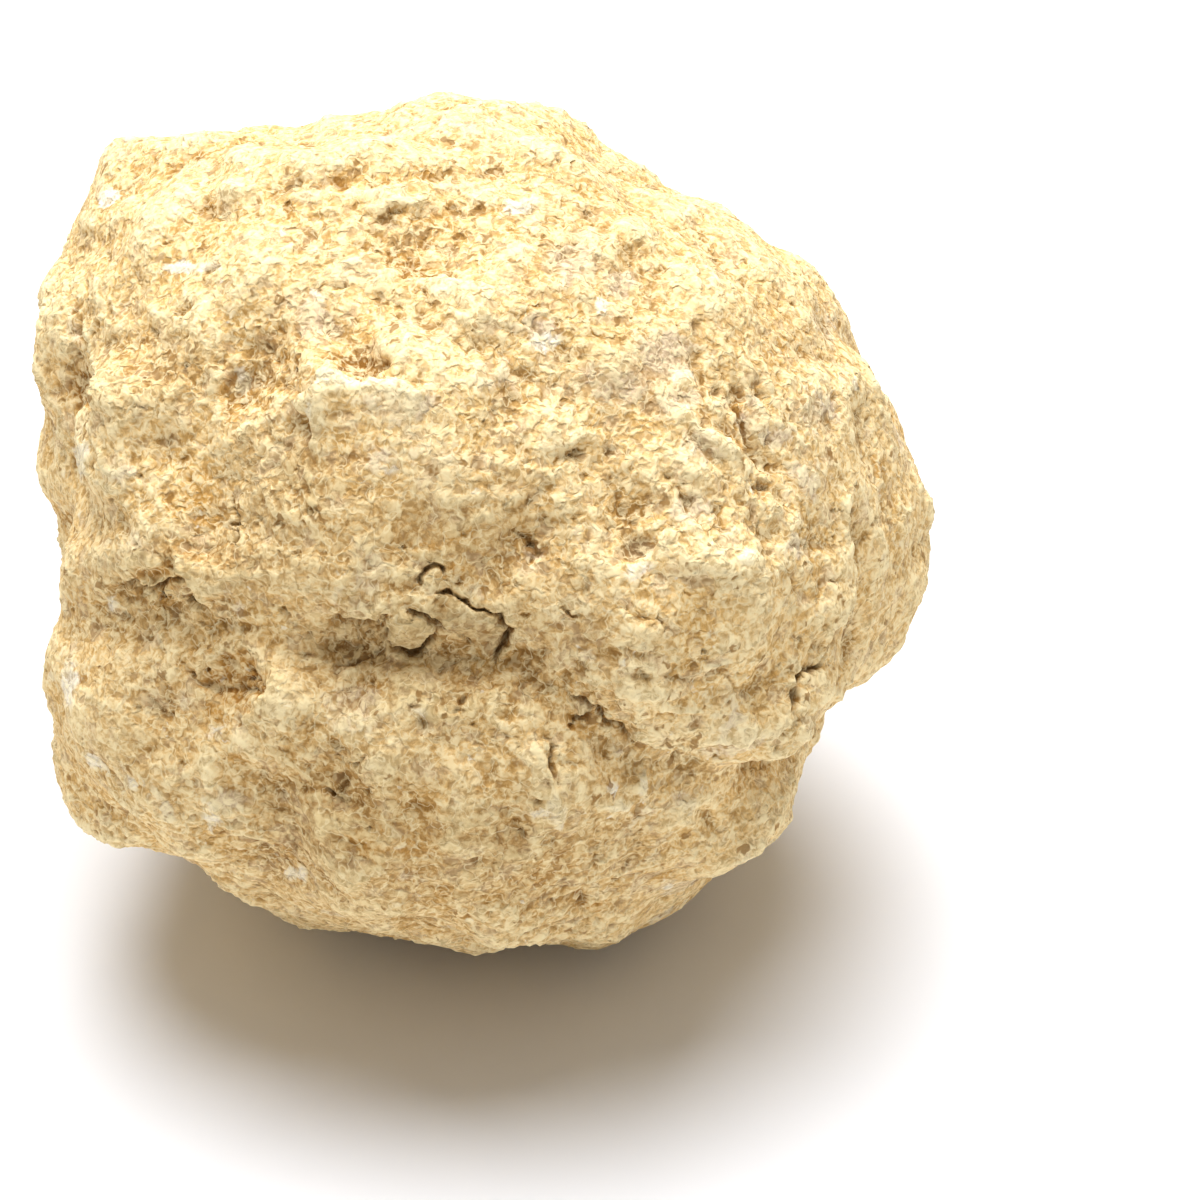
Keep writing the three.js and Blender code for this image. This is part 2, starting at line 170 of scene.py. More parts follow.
# Cracks: a narrow, dark cut along each route
CRACKS = [
    # Round the loose flakes
    {"route": [(-4.4, -4.0), (-4.3, -3.5), (-3.9, -2.9), (-3.4, -2.6), (-2.9, -2.9), (-2.6, -3.5)],
     "width": 0.14, "depth": 0.6},
    {"route": [(-3.4, -4.4), (-2.6, -4.4), (-2.0, -4.6), (-1.5, -5.0), (-0.9, -5.7), (-0.2, -5.8),
               (0.4, -6.1)],
     "width": 0.14, "depth": 0.68},
    {"route": [(0.1, -5.9), (0.4, -6.1), (0.7, -6.8), (1.1, -7.5), (0.9, -8.2), (0.3, -8.9), (0.1, -9.4)],
     "width": 0.19, "depth": 0.83},
    {"route": [(-5.2, -5.3), (-4.6, -6.0), (-4.0, -6.2), (-3.5, -6.8), (-3.2, -7.5)],
     "width": 0.22, "depth": 0.9},
    {"route": [(-3.6, -7.0), (-3.2, -7.5), (-2.5, -7.4), (-1.7, -7.8), (-1.0, -8.2)],
     "width": 0.11, "depth": 0.45},
    {"route": [(-3.2, -7.5), (-4.0, -7.7), (-4.6, -8.1), (-5.5, -8.4), (-6.9, -7.9)],
     "width": 0.14, "depth": 0.75},
    # The dark recess beside them
    {"route": [(-7.1, -8.1), (-7.0, -7.2), (-7.0, -6.5), (-6.8, -6.0)], "width": 0.26, "depth": 0.7},
    {"route": [(-10.4, -6.1), (-9.4, -6.5), (-8.3, -6.7), (-7.5, -6.8), (-7.0, -6.9)],
     "width": 0.45, "depth": 0.52},
    # Over the belly
    {"route": [(1.8, -0.1), (2.4, -0.9), (2.9, -1.6), (3.6, -2.2)], "width": 0.24, "depth": 0.34},
    {"route": [(4.3, -5.2), (5.0, -5.8), (6.0, -6.1)], "width": 0.13, "depth": 0.38},
    {"route": [(8.4, -5.4), (9.4, -5.9), (10.3, -6.4), (11.2, -6.8), (12.2, -7.6)],
     "width": 0.1, "depth": 0.19},
    {"route": [(9.0, -14.4), (10.3, -14.7), (11.5, -15.0), (12.4, -14.7)], "width": 0.14, "depth": 0.45},
    # The rough valley beside the belly
    {"route": [(5.0, -11.6), (6.1, -11.9), (6.9, -12.5), (7.3, -13.3), (8.2, -13.8), (9.4, -14.5)],
     "width": 0.18, "depth": 0.52},
    {"route": [(5.2, -13.3), (5.6, -12.8), (6.4, -12.7), (7.0, -13.1)], "width": 0.16, "depth": 0.52},
    {"route": [(4.2, -13.7), (3.9, -14.8), (4.1, -15.9), (4.3, -17.2)], "width": 0.24, "depth": 0.52},
    {"route": [(6.6, -21.5), (6.5, -22.4), (6.7, -23.2)], "width": 0.14, "depth": 0.3},
    # The notch at the right
    {"route": [(22.0, -9.4), (20.7, -10.2), (20.1, -11.0), (19.8, -12.0), (19.9, -13.3)],
     "width": 0.24, "depth": 0.6},
    # The crease at the left, and below it
    {"route": [(-24.2, -3.1), (-23.2, -3.4), (-22.4, -3.7), (-21.4, -3.9), (-20.2, -3.6), (-19.6, -3.9)],
     "width": 0.21, "depth": 0.6},
    {"route": [(-19.9, -4.9), (-19.3, -5.0), (-18.5, -5.3)], "width": 0.18, "depth": 0.45},
    {"route": [(-13.9, -5.2), (-13.4, -5.6), (-13.0, -5.9)], "width": 0.12, "depth": 0.38},
    {"route": [(-19.9, -9.3), (-19.2, -9.7), (-18.4, -10.1), (-17.6, -10.6), (-17.5, -11.2)],
     "width": 0.28, "depth": 0.34},
    {"route": [(-17.5, -10.1), (-16.9, -10.6), (-16.0, -10.8), (-15.1, -10.9)],
     "width": 0.28, "depth": 0.38},
    {"route": [(-9.9, -15.3), (-9.3, -15.5), (-8.9, -15.5), (-8.4, -15.0)], "width": 0.14, "depth": 0.45},
    {"route": [(-11.2, -17.2), (-10.8, -17.3), (-10.4, -17.6), (-10.0, -17.8)],
     "width": 0.14, "depth": 0.45},
    {"route": [(-2.3, -11.9), (-1.9, -11.4), (-1.3, -10.9)], "width": 0.12, "depth": 0.38},
    {"route": [(-16.5, 2.2), (-16.3, 0.6), (-16.3, -0.4), (-16.7, -1.5)], "width": 0.11, "depth": 0.3},
]
# Hollows and pits: the middle, the half widths across and up, and the depth of each
HOLLOWS = [
    (-4.0, -6.4, 8.5, 2.4, 0.25), (4.5, -8.2, 5.0, 2.2, 0.7), (-7.5, -6.9, 1.0, 0.6, 0.4),
    (-9.0, -6.7, 1.0, 0.3, 0.4), (-16.6, -9.8, 1.8, 1.3, 0.8), (-21.6, -3.0, 1.6, 0.5, 0.5),
    (-8.0, 10.9, 1.6, 0.7, 0.7), (-13.2, 10.2, 2.2, 1.6, 0.2), (-12.3, 6.7, 0.9, 0.8, 0.25),
    (-4.4, 18.1, 2.8, 2.0, 0.3), (-26.6, 10.2, 0.8, 2.0, 0.5), (-20.4, 10.8, 2.6, 1.4, 0.4),
    (-20.6, 5.0, 2.6, 1.3, 0.4), (-17.9, 20.6, 0.8, 0.6, 0.2), (9.6, -1.8, 1.1, 0.7, 0.25),
    (18.8, -0.9, 0.8, 0.5, 0.3), (17.9, 2.1, 0.6, 0.4, 0.5), (-9.6, -21.0, 1.8, 1.2, 0.3),
    (14.0, -19.5, 0.8, 0.7, 0.3), (6.5, -12.8, 1.4, 0.9, 0.15), (24.3, -2.5, 0.7, 2.8, 0.3),
    (5.3, 4.3, 1.8, 0.5, 0.4),
]
PITS = [
    (-4.5, -12.8, 0.5, 0.35, 0.52), (-2.2, -11.9, 0.4, 0.3, 0.45), (-3.5, -13.9, 0.35, 0.2, 0.26),
    (-10.4, -14.2, 0.3, 0.3, 0.39), (-8.3, -16.2, 0.3, 0.25, 0.33), (-12.1, -8.4, 0.3, 0.2, 0.33),
    (-8.9, -9.0, 0.25, 0.15, 0.33), (10.2, -10.3, 0.35, 0.22, 0.39), (14.6, -10.1, 0.6, 0.2, 0.26),
    (12.0, -15.7, 0.28, 0.28, 0.39), (14.4, -15.8, 0.18, 0.35, 0.39), (9.5, -18.7, 0.25, 0.45, 0.33),
    (2.1, -20.4, 0.22, 0.35, 0.39), (5.7, -24.8, 0.3, 0.5, 0.45), (6.7, -24.3, 0.15, 0.22, 0.33),
    (5.4, -13.1, 0.3, 0.2, 0.39), (1.9, -3.9, 0.2, 0.2, 0.33), (2.7, -4.9, 0.35, 0.13, 0.26),
    (3.9, -14.0, 0.3, 0.2, 0.33), (17.8, 2.4, 0.35, 0.2, 0.39), (14.1, 6.1, 0.25, 0.17, 0.33),
    (13.0, 2.3, 0.22, 0.17, 0.33), (6.1, 4.6, 0.35, 0.2, 0.33), (6.3, 4.0, 0.3, 0.15, 0.26),
    (-15.3, 22.1, 0.25, 0.2, 0.33), (-17.7, 21.2, 0.25, 0.2, 0.33), (-23.5, 8.7, 0.2, 0.3, 0.33),
    (-21.1, 8.5, 0.2, 0.3, 0.26), (-23.3, -3.4, 0.4, 0.25, 0.45), (-12.9, 6.6, 0.3, 0.3, 0.26),
    (-7.5, 2.3, 0.5, 0.3, 0.2), (-11.5, 1.1, 0.25, 0.2, 0.26), (-14.9, 0.7, 0.25, 0.15, 0.26),
    (-19.7, 4.5, 0.3, 0.2, 0.26), (-11.0, -3.6, 0.9, 0.6, 0.13), (20.1, -13.4, 0.4, 0.3, 0.33),
    (27.3, -0.2, 0.3, 0.25, 0.26), (24.0, 0.2, 0.25, 0.3, 0.33),
]
# Lumps and ridges that stand out, in the same form
LUMPS = [
    (-4.0, -11.2, 6.5, 2.2, 0.8), (-15.9, 21.7, 1.3, 0.8, 0.6), (-10.0, 9.9, 1.0, 0.8, 0.3),
    (-25.0, -3.5, 0.6, 0.5, 0.5), (6.3, -12.3, 0.5, 0.3, 0.4), (5.9, -14.6, 0.8, 1.4, 0.3),
    (10.9, -0.6, 1.0, 0.5, 0.4), (18.4, 2.7, 0.9, 0.6, 0.4), (-11.2, 14.0, 1.5, 1.3, 0.15),
    (12.6, 8.7, 0.6, 0.5, 0.3), (-17.4, 9.4, 0.6, 3.0, 0.45), (-18.3, -15.4, 0.6, 2.6, 0.4),
    (4.0, -18.7, 0.5, 1.2, 0.35), (9.7, -16.9, 0.35, 1.1, 0.3), (8.0, -18.5, 0.9, 0.35, 0.3),
    (16.5, -3.0, 3.5, 0.9, 0.3), (-0.5, 12.8, 3.0, 1.0, 0.3),
]
# Ridges and grooves that run down the slope at the right: the spot where they are, the way that they run,
# and the length, width and height of each
STRIATED_SPOT = (15.5, 4.5, 4.5, 6.5, 1.0)
STRIATED_WAY = np.array((0.59, -0.81))
STRIATION_LENGTH = 3.5
STRIATION_WIDTH = 0.9
STRIATION_HEIGHT = 0.7
# Flakes that have lifted: the outline and how far each stands out
FLAKES = [
    {"outline": [(-6.6, -6.5), (-5.8, -6.1), (-4.2, -6.2), (-3.5, -6.9), (-3.3, -7.5), (-4.6, -8.1),
                 (-5.4, -8.3), (-6.3, -7.9), (-6.8, -7.4)],
     "lift": 0.12},
    {"outline": [(-3.3, -4.5), (-2.0, -4.8), (-1.0, -5.8), (0.3, -6.2), (1.0, -7.6), (0.2, -8.9),
                 (-1.4, -8.1), (-3.1, -7.4), (-3.6, -6.8), (-4.6, -5.9)],
     "lift": 0.08},
]
# How much of the brown of the cracks lies over the flakes
FLAKE_STAIN = 0.22
# Soft spots, where a crease of the solid becomes a gentle valley: the middle, the half widths, and how soft
SOFT_SPOTS = [
    (-16.0, -2.4, 5.5, 2.2, 0.8), (-21.0, -4.5, 6.0, 2.4, 0.8), (-13.5, -6.0, 5.0, 2.4, 0.9),
    (-5.0, -9.5, 6.0, 2.0, 0.5), (4.0, -12.5, 5.5, 2.4, 0.6), (11.5, -13.5, 5.0, 2.0, 0.4),
    (-4.5, 18.0, 5.0, 3.0, 0.9), (-20.5, 8.0, 4.0, 4.0, 0.4),
]
# Calm spots, where the bare surface is smoother: the middle, the half widths, and how much smoother
CALM_SPOTS = [
    (-6.0, 4.6, 5.6, 4.6, 0.75), (-5.1, -7.2, 1.8, 1.2, 0.9), (-1.3, -6.7, 2.2, 1.6, 0.9),
    (13.0, -19.5, 6.0, 4.5, 0.5), (25.0, -6.0, 3.0, 4.0, 0.4), (-16.5, -3.5, 4.5, 1.6, 0.5),
    (12.0, -5.5, 5.0, 1.8, 0.3),
]
# Spots that are full of small, dark, ragged pits: the middle, the half widths, and how full
PITTED_SPOTS = [
    (-22.0, -3.8, 3.4, 1.1, 1.0), (-16.0, -5.6, 3.0, 1.1, 0.6), (-16.7, -9.8, 2.6, 1.6, 1.0),
    (-8.6, -7.0, 2.4, 0.6, 0.5), (-11.0, -8.7, 2.4, 0.8, 0.7), (-2.6, -11.8, 3.4, 1.3, 0.9),
    (6.5, -12.5, 3.0, 2.0, 0.7), (12.0, -10.4, 4.0, 1.6, 0.6), (11.5, -14.7, 4.0, 0.8, 0.8),
    (2.7, -1.4, 1.5, 1.3, 1.0), (17.0, 4.5, 1.8, 4.0, 0.4), (-4.6, 17.8, 3.2, 2.2, 0.8),
    (-0.6, 19.4, 3.0, 1.5, 0.7), (-10.5, 22.2, 2.2, 0.7, 0.3), (-6.0, 22.9, 4.0, 1.0, 0.4),
    (0.5, 23.6, 3.0, 1.0, 0.6), (-17.6, 20.8, 1.6, 1.0, 0.3), (-13.0, 9.8, 3.0, 2.2, 0.3),
    (-8.0, 10.9, 2.0, 0.8, 1.0), (20.1, -11.6, 0.9, 2.0, 0.5), (-9.5, -16.0, 3.0, 2.0, 0.6),
    (13.0, -15.8, 3.0, 0.9, 0.6), (-26.3, 9.4, 1.2, 2.6, 0.8), (24.0, -1.0, 0.8, 3.6, 0.8),
    (3.6, 18.2, 3.0, 1.6, 0.6), (-5.0, 13.6, 4.0, 1.4, 0.7), (9.0, 12.0, 4.0, 2.4, 0.6),
    (1.0, -6.0, 3.0, 2.4, 0.6), (-14.0, 1.0, 3.4, 1.6, 0.5), (5.8, 4.4, 2.4, 0.8, 0.8),
    (-19.5, 11.5, 2.6, 2.0, 0.6), (13.0, 1.6, 2.6, 1.6, 0.5),
]
# Dun spots, which are mostly painted shade over the creases, the overhangs and the lower lobe and partly
# darker
# stone, and stains and crystals: the middle, the half widths, and how strong each is
DUN_AND_SHADE_SPOTS = [
    (-4.0, -2.0, 10.0, 5.0, 0.8), (-4.0, -6.8, 9.0, 2.6, 1.0), (5.0, -8.5, 5.5, 3.4, 0.6),
    (-10.0, -19.0, 7.0, 5.5, 1.0), (-21.0, -4.0, 5.0, 2.6, 0.9), (-16.5, -10.0, 4.2, 2.8, 0.8),
    (0.0, -21.0, 10.0, 5.0, 0.9), (-7.0, -22.5, 8.0, 4.0, 0.8), (-22.0, 9.8, 4.0, 2.0, 0.9),
    (-12.0, 2.6, 3.0, 3.0, 1.0), (-18.0, -2.0, 8.0, 2.0, 1.0), (10.0, 9.5, 6.0, 3.0, 0.6),
    (-4.0, -11.2, 9.0, 2.0, 0.9), (-22.0, -13.0, 5.0, 5.0, 0.5), (-15.0, 5.5, 1.8, 2.4, 0.5),
    (7.5, 16.5, 3.6, 2.6, 0.6), (-12.4, 12.4, 1.8, 2.2, 0.8), (17.0, 12.0, 5.0, 4.0, 0.3),
]
OCHRE_SPOTS = [
    (-16.7, -10.0, 3.2, 2.6, 1.0), (-21.6, -2.8, 2.0, 0.8, 1.0), (-21.6, -4.3, 2.4, 0.8, 0.7),
    (-26.3, 9.2, 1.3, 1.7, 0.9), (-26.3, -2.6, 0.9, 0.9, 0.7), (-12.8, 10.3, 2.6, 2.0, 0.6),
    (-8.0, 10.9, 1.8, 0.8, 1.0), (-13.5, 8.0, 1.4, 1.2, 0.7), (-4.2, 16.6, 2.2, 0.9, 1.0),
    (-3.2, 19.8, 1.5, 0.8, 0.9), (-7.0, 18.5, 1.4, 0.7, 0.7), (-5.0, 18.0, 1.8, 1.6, 0.5),
    (-18.5, 1.8, 2.4, 2.6, 0.6), (-18.9, -1.0, 1.8, 1.0, 0.6), (16.4, 6.2, 0.9, 2.8, 0.9),
    (18.0, 2.0, 1.2, 1.0, 0.7), (-6.0, -10.2, 3.2, 1.0, 0.6), (3.0, 14.0, 2.4, 1.3, 0.6),
    (7.2, 10.6, 2.8, 1.3, 0.5), (19.5, 10.6, 2.8, 1.8, 0.5), (5.2, 4.3, 2.4, 0.8, 0.6),
    (-10.0, 22.2, 1.6, 0.6, 0.7), (-20.6, 24.0, 2.6, 0.8, 0.6), (3.2, -2.6, 1.2, 1.2, 0.6),
    (6.3, -12.8, 2.2, 1.5, 0.6), (-17.0, 20.8, 1.4, 0.9, 0.7), (-20.6, -8.8, 0.8, 1.0, 0.6),
    (20.1, -11.6, 0.8, 1.8, 0.6), (24.1, 0.1, 0.6, 1.0, 0.7), (-7.5, -21.4, 4.0, 2.4, 0.6),
    (-15.6, -19.0, 1.6, 1.4, 0.5), (13.0, -1.0, 3.0, 1.2, 0.3), (-23.0, -16.6, 2.0, 1.6, 0.4),
    (11.0, -23.5, 3.0, 1.2, 0.4), (2.0, 17.8, 1.6, 1.0, 0.5), (-19.5, 19.4, 1.8, 0.9, 0.5),
]
MAUVE_SPOTS = [
    (9.0, 9.0, 4.5, 2.0, 0.6), (6.0, 17.0, 2.4, 1.5, 0.8), (9.0, 15.6, 1.5, 0.9, 1.0),
    (11.7, 10.6, 2.2, 2.0, 0.8), (12.3, 7.6, 1.8, 1.1, 0.8), (14.0, 4.8, 1.8, 1.4, 0.7),
    (13.2, 0.8, 2.0, 1.1, 0.7), (18.9, 5.3, 1.8, 1.3, 0.6), (21.5, 6.9, 2.0, 1.8, 0.6),
    (-11.2, 13.6, 1.8, 1.8, 0.7), (9.8, -1.8, 1.2, 0.8, 0.9), (-23.5, 3.9, 1.8, 1.2, 0.5),
    (-20.0, -11.0, 1.2, 1.0, 0.6), (8.5, -14.9, 0.7, 0.5, 0.8), (0.5, 9.5, 2.8, 1.3, 0.5),
    (-7.5, 4.2, 2.2, 1.1, 0.5), (20.8, 2.6, 2.0, 1.8, 0.5), (-4.8, 13.2, 1.4, 0.8, 0.6),
    (3.5, 12.5, 2.4, 1.2, 0.5), (-17.2, -17.6, 1.6, 1.0, 0.6), (-26.5, 13.0, 0.8, 2.0, 0.5),
    (3.0, -2.0, 0.8, 0.7, 0.8), (17.3, 7.6, 1.0, 0.7, 0.7), (22.5, 12.6, 1.4, 1.4, 0.5),
    (-3.4, 11.9, 1.5, 0.8, 0.5),
]
WHITE_SPOTS = [
    (-15.8, 9.8, 0.6, 0.7, 1.0), (-11.2, 7.3, 0.3, 0.8, 1.0), (-18.7, 17.0, 1.9, 0.4, 1.0),
    (-24.0, 21.6, 0.9, 0.5, 1.0), (-26.2, 4.6, 0.28, 1.2, 1.0), (-27.3, -9.8, 0.5, 2.0, 0.8),
    (7.8, 13.8, 0.45, 0.8, 1.0), (12.7, 9.0, 0.6, 0.5, 1.0), (13.2, 7.3, 0.3, 0.25, 1.0),
    (3.9, 11.6, 1.0, 0.5, 0.9), (-6.0, 3.7, 0.7, 0.35, 0.9), (5.8, -1.0, 0.3, 0.3, 1.0),
    (7.7, -17.4, 0.4, 0.25, 1.0), (4.0, -18.7, 0.5, 1.3, 0.9), (2.9, -19.0, 0.9, 0.3, 0.8),
    (9.7, -16.9, 0.35, 1.1, 0.7), (7.9, -18.6, 1.0, 0.4, 0.7), (-13.3, -11.6, 0.4, 0.4, 1.0),
    (-17.9, -12.9, 0.5, 0.3, 1.0), (-24.4, -4.9, 0.35, 0.6, 1.0), (-8.4, 9.3, 2.8, 0.6, 0.8),
    (-11.5, 15.2, 1.3, 0.6, 0.4), (2.6, 20.5, 1.4, 0.5, 0.7), (9.6, -3.2, 1.0, 0.5, 0.7),
    (16.8, -2.6, 0.6, 0.6, 0.7), (-23.8, -16.4, 0.35, 0.6, 0.8), (-25.8, -14.9, 0.6, 0.6, 0.8),
    (-4.6, -12.2, 0.6, 0.3, 1.0), (24.0, 8.6, 0.22, 0.5, 0.9), (8.7, -9.4, 0.35, 0.2, 1.0),
    (5.7, -8.6, 0.6, 0.16, 0.8), (10.8, -1.3, 0.4, 0.22, 1.0), (-12.8, -22.5, 0.8, 0.5, 0.8),
    (11.3, -23.8, 0.6, 0.4, 0.8), (-18.3, -18.4, 0.5, 1.4, 0.6),
]
# How strongly the brown of the cracks, which is partly painted shade, lies in a crack, and how deep that
# starts and is full
CRACK_STAIN_AND_SHADE = 0.8
CRACK_STAIN_AND_SHADE_DEPTHS = (0.15, 0.6)
# Patches of colour that lie all over the stone: the size, a shift that keeps the kinds apart, the noise's
# values where a patch starts and is full, and how strong it is
TAN_PATCHES = {"size": 5.0, "shift": 0.0, "low": -0.3, "high": 0.3, "strength": 1.0}
OCHRE_PATCHES = {"size": 4.0, "shift": 11.0, "low": 0.1, "high": 0.45, "strength": 0.5}
MAUVE_PATCHES = {"size": 5.0, "shift": 23.0, "low": 0.15, "high": 0.45, "strength": 0.5}
# The noise behind the patches is a sum of finer and finer ones: how fast they get weaker and finer, how many
# there are, and what brings their sum to about -0.5 to 0.5.
PATCH_NOISE = (1.0, 2.0, 4)
PATCH_RANGE = 0.6


def to_face(points):
    """Where points, in millimetres, show on the face plane, as seen from the camera."""
    eye = np.array(CAMERA_PLACE)
    ray = points - eye
    share = ((FACE_CENTRE - eye) @ FACE_OUT) / (ray @ FACE_OUT)
    on_plane = eye + ray * share[:, None] - FACE_CENTRE
    return np.stack([on_plane @ FACE_RIGHT, on_plane @ FACE_UP], axis=1)


def in_front(points):
    """Whether each point is on the face's side of the middle of the stone."""
    return (points - FACE_CENTRE) @ FACE_OUT > 0


def facing_share(points, normals):
    """1 on the side of the stone that has the face's marks, and 0 on the other."""
    return smooth_step(*FACING_SLOPES, normals @ FACE_OUT) * in_front(points)


def smooth_step(low, high, value):
    """0 up to low, 1 from high on, and a smooth rise between."""
    share = np.clip((value - low) / (high - low), 0, 1)
    return share * share * (3 - 2 * share)


def noise_at(points, function, size, shift=0.0):
    """A noise function's value at each point, with features of about the size given."""
    return np.array([function(Vector(point)) for point in points / size + shift])


def patches(points, kind):
    """How strongly a kind of patch shows at each point."""
    value = noise_at(points, lambda point: noise.fractal(point, *PATCH_NOISE), kind["size"], kind["shift"])
    return kind["strength"] * smooth_step(kind["low"], kind["high"], PATCH_RANGE * value)


def trace(places, route):
    """Each place's distance from the route, its side (1 on the left), and a taper that is 0 at the ends."""
    corners = np.array(route)
    lengths = np.hypot(*np.diff(corners, axis=0).T)
    passed = np.concatenate([[0.0], np.cumsum(lengths)])
    nearest = np.full(len(places), np.inf)
    side = np.zeros(len(places))
    travelled = np.zeros(len(places))
    for start, end, length, before in zip(corners[:-1], corners[1:], lengths, passed):
        along = (end - start) / length
        away = places - start
        share = np.clip(away @ along, 0, length)
        across = away - share[:, None] * along
        distance = np.hypot(across[:, 0], across[:, 1])
        closer = distance < nearest
        nearest[closer] = distance[closer]
        side[closer] = np.sign(along[0] * across[closer, 1] - along[1] * across[closer, 0])
        travelled[closer] = before + share[closer]
    whole = passed[-1]
    end_reach = min(TAPER_LENGTH, whole / 3)
    taper = smooth_step(0, end_reach, travelled) * smooth_step(0, end_reach, whole - travelled)
    return nearest, side, taper


def spot_value(places, spot, sharpness):
    """A spot's strength, depth or height at its middle, falling to 0 past its half widths."""
    right, up, half_width, half_height, strength = spot
    away = np.hypot((places[:, 0] - right) / half_width, (places[:, 1] - up) / half_height)
    return strength * np.exp(-(away**sharpness))


def spots_value(places, spots, sharpness):
    """The strongest of the spots at each place."""
    value = np.zeros(len(places))
    for spot in spots:
        value = np.maximum(value, spot_value(places, spot, sharpness))
    return value


def inside(places, outline):
    """Whether each place is inside a closed outline."""
    result = np.zeros(len(places), dtype=bool)
    x, y = places.T
    for (start_x, start_y), (end_x, end_y) in zip(outline, outline[1:] + outline[:1]):
        if start_y != end_y:
            crossing = (end_x - start_x) * (y - start_y) / (end_y - start_y) + start_x
            result ^= ((start_y > y) != (end_y > y)) & (x < crossing)
    return result


# Reading and changing a mesh


def mesh_points(mesh):
    """The mesh's points, in millimetres."""
    flat = np.zeros(len(mesh.vertices) * 3)
    mesh.vertices.foreach_get("co", flat)
    return flat.reshape(-1, 3) / MM


def mesh_normals(mesh):
    flat = np.zeros(len(mesh.vertices) * 3)
    mesh.vertex_normals.foreach_get("vector", flat)
    return flat.reshape(-1, 3)


def mesh_edges(mesh):
    """The numbers of the two points of each edge."""
    flat = np.zeros(len(mesh.edges) * 2, dtype=np.int32)
    mesh.edges.foreach_get("vertices", flat)
    return flat.reshape(-1, 2)


def set_points(mesh, points):
    """Moves the mesh's points to these places, in millimetres."""
    mesh.vertices.foreach_set("co", (points * MM).ravel())
    mesh.update()


def write_attribute(mesh, name, values):
    """Stores a value for each point on the mesh, for the material to read."""
    attribute = mesh.attributes.new(name, "FLOAT", "POINT")
    attribute.data.foreach_set("value", values.astype(np.float32))


def link(thing):
    """Puts an object in the scene."""
    bpy.context.scene.collection.objects.link(thing)


def evaluated_mesh(thing):
    """A new mesh of the object with its modifiers applied. The object itself is removed."""
    depsgraph = bpy.context.evaluated_depsgraph_get()
    mesh = bpy.data.meshes.new_from_object(thing.evaluated_get(depsgraph))
    bpy.data.objects.remove(thing)
    return mesh


def middle_of_neighbours(points, edges):
    """The mean place of the points that edges join to each point."""
    count = len(points)
    total = np.zeros_like(points)
    for own, other in ((0, 1), (1, 0)):
        for axis in range(3):
            weights = points[edges[:, other], axis]
            total[:, axis] += np.bincount(edges[:, own], weights=weights, minlength=count)
    links = np.bincount(edges.ravel(), minlength=count)
    return total / np.maximum(links, 1)[:, None]


def rounded(points, edges, pull, steps):
    """The points, each pulled a share of the way to the middle of its neighbours at every step."""
    points = points.copy()
    for _ in range(steps):
        points += pull * (middle_of_neighbours(points, edges) - points)
    return points


def standing_out(points, normals, edges, steps):
    """How far each point stands out from its surroundings, which more steps take from further away."""
    smoothed = rounded(points, edges, SMOOTHING_PULL, steps)
    return ((points - smoothed) * normals).sum(axis=1)


# The stages of the stone's shape


def remeshed(source):
    """The CAD solid as an even mesh of small quads."""
    build = bmesh.new()
    build.from_mesh(source.data)
    bmesh.ops.remove_doubles(build, verts=build.verts, dist=MERGE_REACH * MM)
    mesh = bpy.data.meshes.new("stone_coarse")
    build.to_mesh(mesh)
    build.free()
    coarse = bpy.data.objects.new("stone_coarse", mesh)
    link(coarse)
    voxels = coarse.modifiers.new("voxels", "REMESH")
    voxels.mode = "VOXEL"
    voxels.voxel_size = VOXEL * MM
    return evaluated_mesh(coarse)


def soften(mesh):
    """Rounds off the edges everywhere, and turns the creases of the soft spots into valleys."""
    edges = mesh_edges(mesh)
    points = rounded(mesh_points(mesh), edges, ROUNDING_PULL, ROUNDING_STEPS)
    soft = facing_share(points, mesh_normals(mesh)) * spots_value(to_face(points), SOFT_SPOTS, FLAT_TOPPED)
    set_points(mesh, rounded(points, edges, ROUNDING_PULL * soft[:, None], SOFT_SPOT_STEPS))


def split_beside_cracks(mesh):
    """Splits the faces beside the cracks, which are narrower than the mesh elsewhere."""
    points = mesh_points(mesh)
    places = to_face(points)
    distance = np.min([trace(places, crack["route"])[0] for crack in CRACKS], axis=0)
    near = (distance < SPLIT_REACH) & in_front(points)
    build = bmesh.new()
    build.from_mesh(mesh)
    build.verts.index_update()
    edges = [edge for edge in build.edges if all(near[vertex.index] for vertex in edge.verts)]
    bmesh.ops.subdivide_edges(build, edges=edges, cuts=1, use_grid_fill=True)
    build.to_mesh(mesh)
    build.free()


